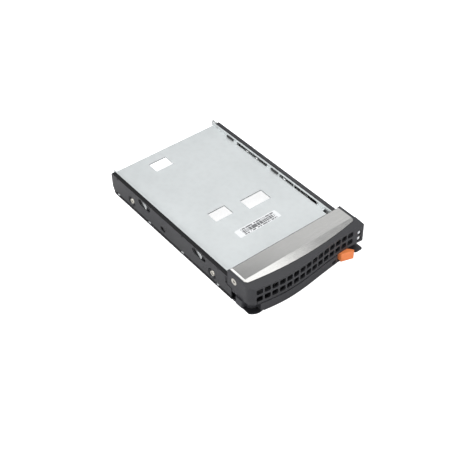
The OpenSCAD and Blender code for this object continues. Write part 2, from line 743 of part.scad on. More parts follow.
// Path of a pipe through heights z: along the rail, down, inwards under the deck, to the face
module pipe_path(z) {
    x = side_x + rail_gap/2;
    y0 = rail_rear + pipe_out;
    y1 = rail_rear - pipe_window[0] + 1;
    y2 = rail_rear - pipe_window[0] - 7;
    y3 = rail_rear - pipe_window[1] + 3;
    y4 = bezel_rear - 6;
    y5 = bezel_rear - 14;
    y6 = wave(led_x) + 0.6;
    bar([[x, y0, z[0]], [x, y1, z[0]], [x, y2, z[1]], [pipe_x, y3, z[1]], [pipe_x, y4, z[1]],
        [pipe_x, y5, z[2]], [led_x, y5 - 5, z[2]], [led_x, y6, z[2]]], pipe_w, pipe_h);
    // thicker ends that take the light in and show it
    box(x - pipe_w/2, x + pipe_w/2 + 0.5, rail_rear + 0.3, y0, z[0] - 1, z[0] + 1);
    box(led_x - 1.1, led_x + 1.1, y6, y6 + 4, z[2] - 1.25, z[2] + 1.25);
}

module light_pipe_upper() {
    color("#e4e8e6", 0.6) pipe_path(pipe_z[0]);
}

module light_pipe_lower() {
    color("#e4e8e6", 0.6) pipe_path(pipe_z[1]);
}

// Small clips that hold both pipes inside the right rail and hook through the deck's edge
module light_pipe_clips() {
    x = side_x + rail_gap/2;
    in_x = deck_x - plate_t - 1;
    out_x = side_x + rail_gap - seam;
    low = pipe_z[1][0] - pipe_h/2 - 0.7;
    high = rail_h - rail_t - seam;
    color("#2e2e30") for (d = clip_rows) translate([0, rail_rear - d, 0]) difference() {
        union() {
            box(side_x + seam, out_x, -2, 2, low, high);
            box(in_x, out_x, -clip_hook/2, clip_hook/2, hook_z, hook_top);
        }
        for (p = pipe_z) box(x - pipe_w/2 - seam, out_x + over, -clip_hook, clip_hook,
            p[0] - pipe_h/2 - seam, p[0] + pipe_h/2 + seam);
    }
}

// Blank paper label on the deck
module deck_label() {
    w = 39;
    d = 8.4;
    color("#eceeee") translate([-0.1, rail_rear - 116.8, deck_top + 0.01])
        linear_extrude(0.1) polygon(round_rect(w, d, 1));
}

// ---- Handle and latch ----

// Plan of the handle's front bar, whose face follows the bezel's wave
module handle_bar_plan() {
    left = pivot[0] + 0.5;
    r = handle_end_r;
    xr = handle_right;
    polygon(concat([[left, handle_back]],
        wave_pts(left, xr - r, -proud), arc([xr - r, wave(xr - r) + r - proud], r, 270, 360, 5),
        [[xr, handle_back]]));
}

module handle() {
    nose_r = 1.2;
    bar_h = high_z - low_z;
    lip_back = shelf_front - 0.4;
    hook_x = tab_left - 2.6;
    color("#46464a") difference() {
        union() {
            translate([0, 0, low_z]) linear_extrude(bar_h) {
                handle_bar_plan();
                // cam nose that hooks behind the bay's wall
                polygon([[nose_x, nose_y - 4.6], [nose_x, nose_y + 1.6],
                    [nose_x + nose_r, nose_y + 2.8], [pivot[0] - 2, pivot[1] + hub_r - 0.6],
                    [pivot[0] - 1, pivot[1] - 2], [pivot[0] - hub_r + 0.8, pivot[1] + 0.4],
                    [nose_x + nose_r, nose_y - 5.2]]);
            }
            translate([pivot[0], pivot[1], low_z]) cylinder(r = hub_r, h = bar_h);
            // lip that hides the shelf's front edge
            translate([0, 0, lip_z]) linear_extrude(low_z - lip_z + seam) difference() {
                intersection() {
                    handle_bar_plan();
                    translate([lip_left, lip_back - 9]) square([handle_right - lip_left, 9]);
                }
                translate(pivot) circle(r = corner_sweep + move_gap);
            }
            // hook that stands behind the release tab's catch
            box(hook_x - 3, hook_x - 1.4, handle_back - seam, handle_back + 3.8, low_z, high_z);
            box(hook_x - 3, hook_x, handle_back + 2.2, handle_back + 3.8, low_z, high_z);
        }
        translate([pivot[0], pivot[1], low_z - over])
            cylinder(r = pivot_r + run_gap, h = bar_h + 2*over);
        // room for the torsion spring round the pin
        translate([pivot[0], pivot[1], spring_pocket_z]) cylinder(r = spring_r + 0.5, h = 8);
        box(pivot[0], pivot[0] + 9, pivot[1] + 1.9, pivot[1] + 2.9, spring_pocket_z, high_z + over);
        // moulding pockets in the back, with ribs between them
        for (x = [pivot[0] + 12 : rib_pitch : handle_right - rib_pitch - 2])
            intersection() {
                translate([0, 0, low_z + 1.3]) linear_extrude(bar_h - 2.6)
                    polygon(concat([[-60, handle_back + over]], wave_pts(-60, 60, 2),
                        [[60, handle_back + over]]));
                box(x, x + rib_pitch - rib_t, face_mid - 8, handle_back + over, 0, box_z);
            }
        // finger mark near the free end
        front_prism(face_mid - 8, wave(handle_right - 6) + 1)
            translate([handle_right - 5.4, 3.4]) polygon(round_rect(4.2, 2.4, 0.8));
    }
}

module handle_pin() {
    color("#b4b4b2") translate([pivot[0], pivot[1], 0.5])
        cylinder(r = pivot_r, h = box_z + box_floor + 2.4 - 0.1);
}

// Wire of radius wire wound on radius r about Z, one turn in pitch, from z = 0
module coil(r, wire, turns, pitch, per_turn = 16, sides = 6) {
    n = turns*per_turn;
    ring = [for (i = [0:n]) let (a = 360*i/per_turn) [for (j = [0:sides - 1])
        let (b = 360*j/sides, q = r + wire*cos(b))
        [q*cos(a), q*sin(a), pitch*i/per_turn + wire*sin(b)]]];
    points = [for (row = ring) for (p = row) p];
    walls = [for (i = [0:n - 1], j = [0:sides - 1]) let (k = (j + 1) % sides)
        [i*sides + j, i*sides + k, (i + 1)*sides + k, (i + 1)*sides + j]];
    polyhedron(points, concat([[for (j = [sides - 1:-1:0]) j]], walls,
        [[for (j = [0:sides - 1]) n*sides + j]]));
}

// Torsion spring that swings the handle open
module handle_spring() {
    w = spring_wire/2;
    color("#a9a9a6") translate([pivot[0], pivot[1], spring_pocket_z + w + 0.1])
        coil(spring_r - 0.3, w, 5, 0.55);
}

// Coloured tab that slides to the right to free the handle
module release_tab() {
    cut = handle_right + move_gap;
    slot_w = guide_r + run_gap;
    front_back = shelf_front - 0.4;
    color("#ff8038") difference() {
        union() {
            translate([0, 0, low_z]) linear_extrude(high_z - low_z) tab_plan();
            intersection() {
                translate([0, 0, lip_z]) linear_extrude(low_z - lip_z + seam) tab_plan();
                box(cut, tab_point[0] + over, tab_point[1] - over, front_back, 0, low_z + over);
            }
        }
        // slot round the guide pin
        box(guide[0] - tab_travel, guide[0], guide[1] - slot_w, guide[1] + slot_w, 0, box_z);
        for (x = [guide[0] - tab_travel, guide[0]])
            translate([x, guide[1], low_z - over]) cylinder(r = slot_w, h = box_z);
        // blind seat of the spring
        x_rod(coil_r + 0.5, tab_arm_x - 2.2, tab_arm_x + over, coil_y, coil_z);
    }
}

module tab_plan() {
    arm_y = coil_y - 3.2;
    left_back = guide[0] - tab_travel - 3.4;
    catch_y = handle_back + 0.5;
    body_y = handle_back + 4.1;
    polygon([[tab_left, wave(tab_left) + 0.6], [tab_left + 0.8, wave(tab_left) - 1.5],
        tab_point + [-0.8, 0], tab_point + [0, 0.7], [tab_neck, face_mid + 2.6],
        [tab_neck, arm_y], [tab_arm_x, arm_y], [tab_arm_x, tab_back], [left_back, tab_back],
        [left_back, body_y], [tab_left + 0.6, body_y], [tab_left + 0.6, catch_y + 1.4],
        [tab_left - 2.2, catch_y + 1.4], [tab_left - 2.2, catch_y], [tab_left, catch_y]]);
}

// Compression spring that pushes the release tab back to the left
module release_spring() {
    w = coil_wire/2;
    x0 = tab_arm_x - 2.1 + w;
    x1 = coil_end - 0.1 - w;
    color("#a9a9a6") translate([x0, coil_y, coil_z]) rotate([0, 90, 0])
        coil(coil_r - w, w, 7, (x1 - x0)/7, 14);
}

module tab_guide_pin() {
    color("#b4b4b2") translate([guide[0], guide[1], 0.5])
        cylinder(r = guide_r, h = box_z + box_floor + 0.7);
}

left_rail();
right_rail();
adapter_deck();
left_side_plate();
right_side_plate();
clinch_nuts();
rail_screws();
bezel();
bezel_cover();
bezel_screws();
vent_screen();
light_pipe_upper();
light_pipe_lower();
light_pipe_clips();
deck_label();
handle();
handle_pin();
handle_spring();
release_tab();
release_spring();
tab_guide_pin();
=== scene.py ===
import math

import bmesh
import bpy
from mathutils import Matrix, Vector


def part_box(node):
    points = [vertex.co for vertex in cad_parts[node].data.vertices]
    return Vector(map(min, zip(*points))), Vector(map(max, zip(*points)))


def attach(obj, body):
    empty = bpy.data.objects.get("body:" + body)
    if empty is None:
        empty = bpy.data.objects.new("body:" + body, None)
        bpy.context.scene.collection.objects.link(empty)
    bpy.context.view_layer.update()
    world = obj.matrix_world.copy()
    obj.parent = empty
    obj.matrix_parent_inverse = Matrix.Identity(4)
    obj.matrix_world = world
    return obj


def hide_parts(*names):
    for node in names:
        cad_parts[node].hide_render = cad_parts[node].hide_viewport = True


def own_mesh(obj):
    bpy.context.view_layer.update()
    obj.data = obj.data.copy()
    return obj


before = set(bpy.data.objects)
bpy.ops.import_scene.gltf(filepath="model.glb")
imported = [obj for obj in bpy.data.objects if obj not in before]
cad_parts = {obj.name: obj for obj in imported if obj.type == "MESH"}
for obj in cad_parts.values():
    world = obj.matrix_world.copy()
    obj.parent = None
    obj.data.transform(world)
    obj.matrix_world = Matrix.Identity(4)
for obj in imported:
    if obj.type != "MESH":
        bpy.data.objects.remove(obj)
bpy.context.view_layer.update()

# ---- Camera ----
# A long lens that looks down on the tray from in front of its left corner, so that the
# deck, the left rail and the bezel's face all show.
mm = 0.001
view_turn = math.radians(-37.36)
view_rise = math.radians(42.41)
view_roll = math.radians(-1.33)
view_distance = 702.8 * mm
view_target = Vector((-16.9, -14.2, 12.0)) * mm
view_back = Vector((math.sin(view_turn) * math.cos(view_rise),
                    -math.cos(view_turn) * math.cos(view_rise), math.sin(view_rise)))
camera = bpy.data.objects.new("camera", bpy.data.cameras.new("camera"))
camera.data.sensor_width = 36.0
camera.data.lens = 75.05
camera.data.clip_start = 0.01
camera_turn = view_back.to_track_quat("Z", "Y").to_matrix() @ Matrix.Rotation(view_roll, 3, "Z")
camera_place = Matrix.Translation(view_target + view_back * view_distance)
camera.matrix_world = camera_place @ camera_turn.to_4x4()
bpy.context.scene.collection.objects.link(camera)
bpy.context.scene.camera = camera
bpy.context.scene.view_settings.view_transform = "Standard"

# ---- Studio ----
# A white table top in a grey room. A broad soft panel hangs over the tray, smaller ones
# light its left side and its front, and a faint one behind shows in the cover's flat.
world = bpy.data.worlds.new("studio")
world.use_nodes = True
room = world.node_tree.nodes["Background"]
room.inputs["Color"].default_value = (0.96, 0.98, 1.0, 1.0)
room.inputs["Strength"].default_value = 0.37
bpy.context.scene.world = world


def add(tree, kind, settings=None, inputs=None):
    """Adds a node, with its settings, and with each input either set or linked."""
    made = tree.nodes.new(kind)
    for key, value in (settings or {}).items():
        setattr(made, key, value)
    for key, value in (inputs or {}).items():
        if isinstance(value, bpy.types.NodeSocket):
            tree.links.new(value, made.inputs[key])
        else:
            made.inputs[key].default_value = value
    return made


table_mesh = bmesh.new()
bmesh.ops.create_grid(table_mesh, x_segments=4, y_segments=4, size=4.0)
table_drop = 0.05 * mm  # keeps the table clear of the tray's underside
bmesh.ops.translate(table_mesh, verts=table_mesh.verts, vec=(0, 0, -table_drop))
table_data = bpy.data.meshes.new("table_top")
table_mesh.to_mesh(table_data)
table_mesh.free()
table_top = bpy.data.objects.new("table_top", table_data)
bpy.context.scene.collection.objects.link(table_top)
table_paint = bpy.data.materials.new("table_paint")
table_paint.use_nodes = True
table_tree = table_paint.node_tree
table_tree.nodes.clear()
table_matt = add(table_tree, "ShaderNodeBsdfDiffuse", {}, {"Color": (0.72, 0.72, 0.73, 1)})
table_lit = add(table_tree, "ShaderNodeEmission", {}, {"Color": (1, 1, 1, 1), "Strength": 0.9})
table_both = add(table_tree, "ShaderNodeAddShader", {},
                 {0: table_matt.outputs[0], 1: table_lit.outputs[0]})
table_seen = add(table_tree, "ShaderNodeLightPath")
table_mix = add(table_tree, "ShaderNodeMixShader", {},
                {0: table_seen.outputs["Is Camera Ray"], 1: table_matt.outputs[0],
                 2: table_both.outputs[0]})
add(table_tree, "ShaderNodeOutputMaterial", {}, {"Surface": table_mix.outputs[0]})
table_data.materials.append(table_paint)


def soft_panel(name, place, aim, size, power):
    """A panel lamp at a place, turned towards aim; its size is in metres, its power in watts."""
    panel = bpy.data.objects.new(name, bpy.data.lights.new(name, "AREA"))
    panel.data.shape = "RECTANGLE"
    panel.data.size = size[0]
    panel.data.size_y = size[1]
    panel.data.energy = power
    panel.location = place
    panel.rotation_euler = (Vector(place) - Vector(aim)).to_track_quat("Z", "Y").to_euler()
    bpy.context.scene.collection.objects.link(panel)


soft_panel("over_panel", (-0.075, -0.06, 1.0), (-0.075, -0.06, 0.0), (1.37, 1.16), 8.0)
soft_panel("left_panel", (-1.0, 0.3, 0.75), (0, 0, 0), (0.7, 0.5), 5.0)
soft_panel("front_panel", (-0.35, -1.1, 0.45), (0, 0, 0), (0.8, 0.5), 3.6)
soft_panel("rear_panel", (0.704, 0.591, 0.771), (0, 0, 0), (0.55, 0.34), 0.36)

# ---- Rails ----
# Two channels folded from steel sheet and powder coated black, 1 mm thick, with slots,
# dimples and lug windows pierced before folding. Screws hold them to the adapter.


on_plane = 0.02 * mm  # points this near a plane count as lying in it
sliver = 0.001 * mm  # edges shorter than this are merged away


def round_folds(mesh, fold_x, fold, top_only):
    """Rounds a folded sheet's long level edges in the plane x = fold_x by up to fold: the
    highest ones, and the lowest too unless top_only. The shortest edge limits them all."""
    long_fold = 12 * mm
    short_fold = 1.5 * mm
    level = [edge for edge in mesh.edges if edge.is_manifold
             and edge.calc_face_angle(0) > math.radians(80)
             and all(abs(vert.co.x - fold_x) < on_plane for vert in edge.verts)
             and abs(edge.verts[0].co.z - edge.verts[1].co.z) < on_plane / 2]
    heights = [edge.verts[0].co.z for edge in level if edge.calc_length() > long_fold]
    ends = (max(heights),) if top_only else (min(heights), max(heights))
    long_edges = [edge for edge in level if edge.calc_length() > short_fold
                  and min(abs(edge.verts[0].co.z - end) for end in ends) < on_plane]
    bmesh.ops.bevel(mesh, geom=long_edges, offset=fold, offset_type="OFFSET", segments=4,
                    profile=0.5, affect="EDGES", clamp_overlap=True, material=-1)


def new_piece(name, mesh, body, node):
    """A piece with the given mesh, which rides on a body and stands for a CAD node."""
    data = bpy.data.meshes.new(name)
    mesh.to_mesh(data)
    mesh.free()
    piece = bpy.data.objects.new(name, data)
    bpy.context.scene.collection.objects.link(piece)
    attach(piece, body)
    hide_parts(node)
    return piece


def edged_copy(node, body, width, fold_planes=(), fold=0.0, top_only=False):
    """A copy of a CAD node, welded and flat faces joined, whose sharp edges are rounded off
    by up to width: the shortest edge of a piece limits the rounding of them all. The ridges
    are marked in the attribute rim for their wear. A sheet's folds are rounded before."""
    sharp = math.radians(37)
    mesh = bmesh.new()
    mesh.from_mesh(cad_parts[node].data)
    bmesh.ops.remove_doubles(mesh, verts=mesh.verts, dist=2 * sliver)
    bmesh.ops.dissolve_limit(mesh, angle_limit=math.radians(0.4), verts=mesh.verts,
                             edges=mesh.edges, use_dissolve_boundaries=False)
    for fold_x in fold_planes:
        round_folds(mesh, fold_x, fold, top_only)
    edges = [edge for edge in mesh.edges if edge.is_manifold and edge.calc_face_angle(0) > sharp]
    made = bmesh.ops.bevel(mesh, geom=edges, offset=width, offset_type="OFFSET", segments=2,
                           profile=0.5, affect="EDGES", clamp_overlap=True, material=-1)
    ridge_faces = set(made["faces"])
    rim = mesh.verts.layers.float.new("rim")
    for vert in mesh.verts:
        vert[rim] = float(len(vert.link_faces) > 0 and ridge_faces.issuperset(vert.link_faces))
    bmesh.ops.dissolve_degenerate(mesh, dist=sliver, edges=mesh.edges)
    for face in mesh.faces:
        face.smooth = True
    for edge in mesh.edges:
        edge.smooth = edge.calc_face_angle(0) < sharp
    piece = new_piece(node + "_finished", mesh, body, node)
    flat = piece.modifiers.new("flat_faces", "WEIGHTED_NORMAL")
    flat.keep_sharp = True
    return piece


def new_group(name, inputs, outputs):
    """An empty shader node group with float inputs and outputs of the given names."""
    group = bpy.data.node_groups.new(name, "ShaderNodeTree")
    for title, value in inputs.items():
        socket = group.interface.new_socket(title, in_out="INPUT", socket_type="NodeSocketFloat")
        socket.default_value = value
    for title in outputs:
        group.interface.new_socket(title, in_out="OUTPUT", socket_type="NodeSocketFloat")
    return group, add(group, "NodeGroupInput"), add(group, "NodeGroupOutput")


def spread(tree, value, low, high, to_low, to_high):
    """Maps a value smoothly from one span to another, and clamps it."""
    return add(tree, "ShaderNodeMapRange", {"interpolation_type": "SMOOTHSTEP"},
               {"Value": value, "From Min": low, "From Max": high, "To Min": to_low,
                "To Max": to_high}).outputs["Result"]


def combine(tree, first, second, kind="MULTIPLY"):
    """The product of two values or sockets, or their sum or other combination by kind."""
    return add(tree, "ShaderNodeMath", {"operation": kind},
               {0: first, 1: second}).outputs[0]


# Wear: the ridges' rim, broken up by a noise, so that paint is rubbed through in places.
wear_group, wear_in, wear_out = new_group("rubbed_ridges", {"Amount": 0.5, "Scale": 300.0}, ["Worn"])
wear_rim = add(wear_group, "ShaderNodeAttribute", {"attribute_name": "rim"})
wear_place = add(wear_group, "ShaderNodeTexCoord")
wear_noise = add(wear_group, "ShaderNodeTexNoise", {},
                 {"Vector": wear_place.outputs["Object"], "Scale": wear_in.outputs["Scale"],
                  "Detail": 4.0, "Roughness": 0.65})
wear_patch = spread(wear_group, wear_noise.outputs["Fac"], 0.42, 0.62, 0.15, 1.0)
wear_both = combine(wear_group, wear_patch, wear_rim.outputs["Fac"])
wear_group.links.new(combine(wear_group, wear_both, wear_in.outputs["Amount"]),
                     wear_out.inputs["Worn"])

# Grain: the fine orange-peel of powder coat, or the spark texture of a mould.
grain_group, grain_in, grain_out = new_group("fine_grain", {"Scale": 2500.0, "Contrast": 0.1},
                                             ["Height", "Tone"])
grain_place = add(grain_group, "ShaderNodeTexCoord")
grain_fine = add(grain_group, "ShaderNodeTexNoise", {},
                 {"Vector": grain_place.outputs["Object"], "Scale": grain_in.outputs["Scale"],
                  "Detail": 3.0, "Roughness": 0.6})
grain_group.links.new(grain_fine.outputs["Fac"], grain_out.inputs["Height"])
grain_swing = combine(grain_group, grain_fine.outputs["Fac"], 0.5, "SUBTRACT")
grain_swing = combine(grain_group, grain_swing, grain_in.outputs["Contrast"])
grain_group.links.new(combine(grain_group, grain_swing, 1.0, "ADD"), grain_out.inputs["Tone"])

# Handling: broad soft smudges that change the gloss and the tone a little.
smudge_group, smudge_in, smudge_out = new_group("handling", {"Scale": 28.0}, ["Smudge"])
smudge_place = add(smudge_group, "ShaderNodeTexCoord")
smudge_noise = add(smudge_group, "ShaderNodeTexNoise", {},
                   {"Vector": smudge_place.outputs["Object"], "Scale": smudge_in.outputs["Scale"],
                    "Detail": 5.0, "Roughness": 0.55, "Distortion": 0.6})
smudge_group.links.new(spread(smudge_group, smudge_noise.outputs["Fac"], 0.3, 0.7, 0.0, 1.0),
                       smudge_out.inputs["Smudge"])


def place_group(tree, group, **inputs):
    """Puts a shader group into a material, with its own value for each input named."""
    made = add(tree, "ShaderNodeGroup", {"node_tree": group})
    for key, value in inputs.items():
        made.inputs[key].default_value = value
    return made


def blend_colour(tree, share, first, second):
    """Mixes two colours, the second by share; each may be a value or a socket."""
    mix = add(tree, "ShaderNodeMix", {"data_type": "RGBA", "blend_type": "MIX"})
    for index, value in ((0, share), (6, first), (7, second)):
        if isinstance(value, bpy.types.NodeSocket):
            tree.links.new(value, mix.inputs[index])
        else:
            mix.inputs[index].default_value = value
    return mix.outputs[2]


def new_material(name, roughness, specular=0.5):
    """A material, its node tree and its shader."""
    made = bpy.data.materials.new(name)
    made.use_nodes = True
    shader = made.node_tree.nodes["Principled BSDF"]
    shader.inputs["Roughness"].default_value = roughness
    shader.inputs["Specular IOR Level"].default_value = specular
    return made, made.node_tree, shader


def coated(name, colour, bare, roughness, grain_scale, bump, wear, bare_metal=0.0, specular=0.5):
    """Paint or moulded plastic: grain, smudges, and ridges rubbed down to another colour."""
    made, tree, shader = new_material(name, roughness, specular)
    grain = place_group(tree, grain_group, Scale=grain_scale, Contrast=0.5)
    smudge = place_group(tree, smudge_group)
    worn = place_group(tree, wear_group, Amount=wear)
    tone = spread(tree, smudge.outputs["Smudge"], 0.0, 1.0, 0.9, 1.12)
    tone = combine(tree, tone, grain.outputs["Tone"])
    toned = add(tree, "ShaderNodeVectorMath", {"operation": "SCALE"},
                {0: colour, "Scale": tone}).outputs["Vector"]
    tree.links.new(blend_colour(tree, worn.outputs["Worn"], toned, bare),
                   shader.inputs["Base Color"])
    matt = spread(tree, smudge.outputs["Smudge"], 0.0, 1.0, roughness - 0.05, roughness + 0.06)
    tree.links.new(matt, shader.inputs["Roughness"])
    if bare_metal:
        tree.links.new(combine(tree, worn.outputs["Worn"], bare_metal), shader.inputs["Metallic"])
    relief = add(tree, "ShaderNodeBump", {}, {"Height": grain.outputs["Height"],
                                              "Strength": bump, "Distance": 0.05 * mm})
    tree.links.new(relief.outputs["Normal"], shader.inputs["Normal"])
    return made


powder_coat = coated("powder_coat", colour=(0.030, 0.030, 0.033), bare=(0.30, 0.30, 0.30, 1),
                     roughness=0.4, grain_scale=2200.0, bump=0.35, wear=0.35, bare_metal=0.8)


def split_faces(piece, place, across):
    """Cuts the faces of a piece along a plane, so that a finish can end there."""
    mesh = bmesh.new()
    mesh.from_mesh(piece.data)
    bmesh.ops.bisect_plane(mesh, geom=mesh.verts[:] + mesh.edges[:] + mesh.faces[:],
                           dist=sliver, plane_co=place, plane_no=across)
    bmesh.ops.dissolve_degenerate(mesh, dist=sliver, edges=mesh.edges)
    mesh.to_mesh(piece.data)
    mesh.free()


# painted shade: a darker, more matt black than the powder coat, laid where shade falls on the rails
painted_shade_black = coated("painted_shade_black", colour=(0.013, 0.013, 0.014), bare=(0.16, 0.16, 0.16, 1),
                    roughness=0.62, grain_scale=2200.0, bump=0.35, wear=0.2, specular=0.22)
web_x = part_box("rail_screws")[1].x + 0.3 * mm  # the screws' heads lie that far under the webs
foot_height = 3.1 * mm
lip_depth = 0.6 * mm
lip_area = 50 * mm * mm  # a lip's flat is larger, the faces of a rail's details are smaller
for side, outwards in (("left", -1), ("right", 1)):
    rail = edged_copy(side + "_rail", "tray", 0.15 * mm,
                      fold_planes=(outwards * web_x,), fold=0.1 * mm)
    rail.data.materials.append(powder_coat)
    rail.data.materials.append(painted_shade_black)
    # painted shade: the feet of both rails and the top lip of the left one are a darker, more matt
    # black, for the shade that falls there
    split_faces(rail, (0, 0, foot_height), (0, 0, 1))
    lip_top = max(face.center.z for face in rail.data.polygons
                  if face.normal.z > 0.99 and face.area > lip_area)
    for face in rail.data.polygons:
        on_lip = side == "left" and face.center.z > lip_top - lip_depth and face.normal.z > 0.3
        face.material_index = int(on_lip or face.center.z < foot_height)

# ---- Adapter ----
# A deck and two side plates of galvanised steel sheet. Tabs are bent down out of windows in
# the deck; spring tongues and lugs are lanced out of the side plates.

# Zinc: soft spangles a few millimetres wide, and the faint rolling lines of the sheet.
zinc_group, zinc_in, zinc_out = new_group("zinc_spangle", {"Scale": 260.0}, ["Tone", "Height"])
zinc_place = add(zinc_group, "ShaderNodeTexCoord")
zinc_cells = add(zinc_group, "ShaderNodeTexVoronoi", {"feature": "SMOOTH_F1"},
                 {"Vector": zinc_place.outputs["Object"], "Scale": zinc_in.outputs["Scale"],
                  "Smoothness": 0.8, "Randomness": 1.0})
zinc_fine = add(zinc_group, "ShaderNodeTexNoise", {},
                {"Vector": zinc_place.outputs["Object"], "Scale": 900.0, "Detail": 4.0})
zinc_long = add(zinc_group, "ShaderNodeMapping", {},
                {"Vector": zinc_place.outputs["Object"], "Scale": (900.0, 30.0, 900.0)})
zinc_roll = add(zinc_group, "ShaderNodeTexNoise", {},
                {"Vector": zinc_long.outputs["Vector"], "Scale": 1.0, "Detail": 3.0})
zinc_sum = combine(zinc_group, spread(zinc_group, zinc_cells.outputs["Distance"], 0.0, 0.8, 0.0, 0.4),
                 combine(zinc_group, zinc_fine.outputs["Fac"], 0.35), "ADD")
zinc_sum = combine(zinc_group, zinc_sum, combine(zinc_group, zinc_roll.outputs["Fac"], 0.25), "ADD")
zinc_group.links.new(zinc_sum, zinc_out.inputs["Tone"])
zinc_group.links.new(zinc_sum, zinc_out.inputs["Height"])


def zinc_sheet(name, colour, metallic, roughness, contrast):
    """Galvanised sheet: spangles, smudges, and edges where the zinc is rubbed bright."""
    made, tree, shader = new_material(name, roughness)
    shader.inputs["Metallic"].default_value = metallic
    zinc = place_group(tree, zinc_group)
    smudge = place_group(tree, smudge_group, Scale=16.0)
    worn = place_group(tree, wear_group, Amount=0.6, Scale=200.0)
    tone = spread(tree, zinc.outputs["Tone"], 0.25, 0.75, 1.0 - contrast, 1.0 + contrast)
    tone = combine(tree, tone, spread(tree, smudge.outputs["Smudge"], 0.0, 1.0, 0.975, 1.02))
    toned = add(tree, "ShaderNodeVectorMath", {"operation": "SCALE"},
                {0: colour, "Scale": tone}).outputs["Vector"]
    tree.links.new(blend_colour(tree, worn.outputs["Worn"], toned, (0.86, 0.87, 0.87, 1)),
                   shader.inputs["Base Color"])
    matt = spread(tree, zinc.outputs["Tone"], 0.25, 0.75, roughness - 0.05, roughness + 0.05)
    tree.links.new(matt, shader.inputs["Roughness"])
    relief = add(tree, "ShaderNodeBump", {}, {"Height": zinc.outputs["Height"], "Strength": 0.12,
                                              "Distance": 0.03 * mm})
    tree.links.new(relief.outputs["Normal"], shader.inputs["Normal"])
    return made


deck_zinc = zinc_sheet("deck_zinc", colour=(0.70, 0.728, 0.73), metallic=0.45, roughness=0.5,
                       contrast=0.018)
plate_zinc = zinc_sheet("plate_zinc", colour=(0.66, 0.68, 0.68), metallic=0.4, roughness=0.4,
                        contrast=0.05)
deck = edged_copy("adapter_deck", "tray", 0.12 * mm)
deck.data.materials.append(deck_zinc)
for side in ("left", "right"):
    plate = edged_copy(side + "_side_plate", "tray", 0.1 * mm)
    plate.data.materials.append(plate_zinc)

# ---- Nuts and screws ----
# Turned steel, zinc plated with a warm tint. The nuts are pressed into the side plates, the
# flat-headed screws hold the rails and the bezel's ears.


def plated(name, colour, roughness):
    """Plated steel, whose cross recess is painted dark for the shade that falls in it."""
    made, tree, shader = new_material(name, roughness)
    shader.inputs["Metallic"].default_value = 0.85
    grain = place_group(tree, grain_group, Scale=1500.0, Contrast=0.35)
    worn = place_group(tree, wear_group, Amount=0.7, Scale=500.0)
    deep = add(tree, "ShaderNodeAttribute", {"attribute_name": "recess"})
    toned = add(tree, "ShaderNodeVectorMath", {"operation": "SCALE"},
                {0: colour, "Scale": grain.outputs["Tone"]}).outputs["Vector"]
    bright = blend_colour(tree, worn.outputs["Worn"], toned, (0.9, 0.88, 0.84, 1))
    # painted shade: the marked points of each cross recess are painted near-black
    tree.links.new(blend_colour(tree, deep.outputs["Fac"], bright, (0.03, 0.028, 0.025, 1)),
                   shader.inputs["Base Color"])
    relief = add(tree, "ShaderNodeBump", {}, {"Height": grain.outputs["Height"], "Strength": 0.2,
                                              "Distance": 0.03 * mm})
    tree.links.new(relief.outputs["Normal"], shader.inputs["Normal"])
    return made


def mark_recess(piece, reach):
    """Marks the points of each cross recess, which get painted shade: near the screw's axis, along X,
    and below its face. reach is the recess's half width."""
    apart = 8 * mm
    shallow = 0.06 * mm
    deep = 1.0 * mm
    data = piece.data
    recess = data.attributes.new("recess", "FLOAT", "POINT")
    faces_x = (min(vert.co.x for vert in data.vertices), max(vert.co.x for vert in data.vertices))
    heads = []
    for vert in data.vertices:
        if min(abs(vert.co.x - face_x) for face_x in faces_x) < on_plane:
            near = [head for head in heads if (head["start"] - vert.co.yz).length < apart
                    and head["face_x"] * vert.co.x > 0]
            if near:
                near[0]["points"].append(vert.co.yz)
            else:
                heads.append({"start": vert.co.yz, "points": [vert.co.yz], "face_x": vert.co.x})
    for head in heads:
        low = Vector([min(point[i] for point in head["points"]) for i in range(2)])
        high = Vector([max(point[i] for point in head["points"]) for i in range(2)])
        head["axis"] = (low + high) / 2
    for vert in data.vertices:
        for head in heads:
            depth = abs(head["face_x"] - vert.co.x)
            if shallow < depth < deep and (vert.co.yz - head["axis"]).length < reach:
                recess.data[vert.index].value = 1.0


screw_zinc = plated("screw_zinc", colour=(0.80, 0.77, 0.69), roughness=0.32)
for screws_name, recess_reach in (("rail_screws", 1.62 * mm), ("bezel_screws", 1.42 * mm)):
    screws = edged_copy(screws_name, "tray", 0.08 * mm)
    mark_recess(screws, recess_reach)
    screws.data.materials.append(screw_zinc)
nuts = edged_copy("clinch_nuts", "tray", 0.1 * mm)
nuts.data.materials.append(screw_zinc)

# ---- Bezel ----
# One moulding in charcoal plastic with a fine spark texture: a vented box with a wavy face,
# two ears that lap the rails, and a shelf that carries the handle.
charcoal = coated("charcoal_plastic", colour=(0.030, 0.030, 0.034), bare=(0.09, 0.09, 0.095, 1),
                  roughness=0.42, grain_scale=2800.0, bump=0.3, wear=0.5)
bezel = edged_copy("bezel", "tray", 0.22 * mm)
bezel.data.materials.append(charcoal)
# painted shade: the corner of the shelf round the handle's pin is painted smoother and blacker than
# the rest, for the shade under the bezel's overhang
corner_shade_paint = coated("painted_shade_corner", colour=(0.012, 0.012, 0.014), bare=(0.03, 0.03, 0.03, 1),
                  roughness=0.34, grain_scale=2800.0, bump=0.1, wear=0.2, specular=0.3)
bezel.data.materials.append(corner_shade_paint)
pin_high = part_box("handle_pin")[1]
corner_x = pin_high.x + 7 * mm
corner_y = pin_high.y + 8 * mm
corner_z = pin_high.z - 0.5 * mm
split_faces(bezel, (corner_x, 0, 0), (1, 0, 0))
for face in bezel.data.polygons:
    near_pin = face.center.x < corner_x and face.center.y < corner_y
    face.material_index = int(near_pin and face.center.z < corner_z)

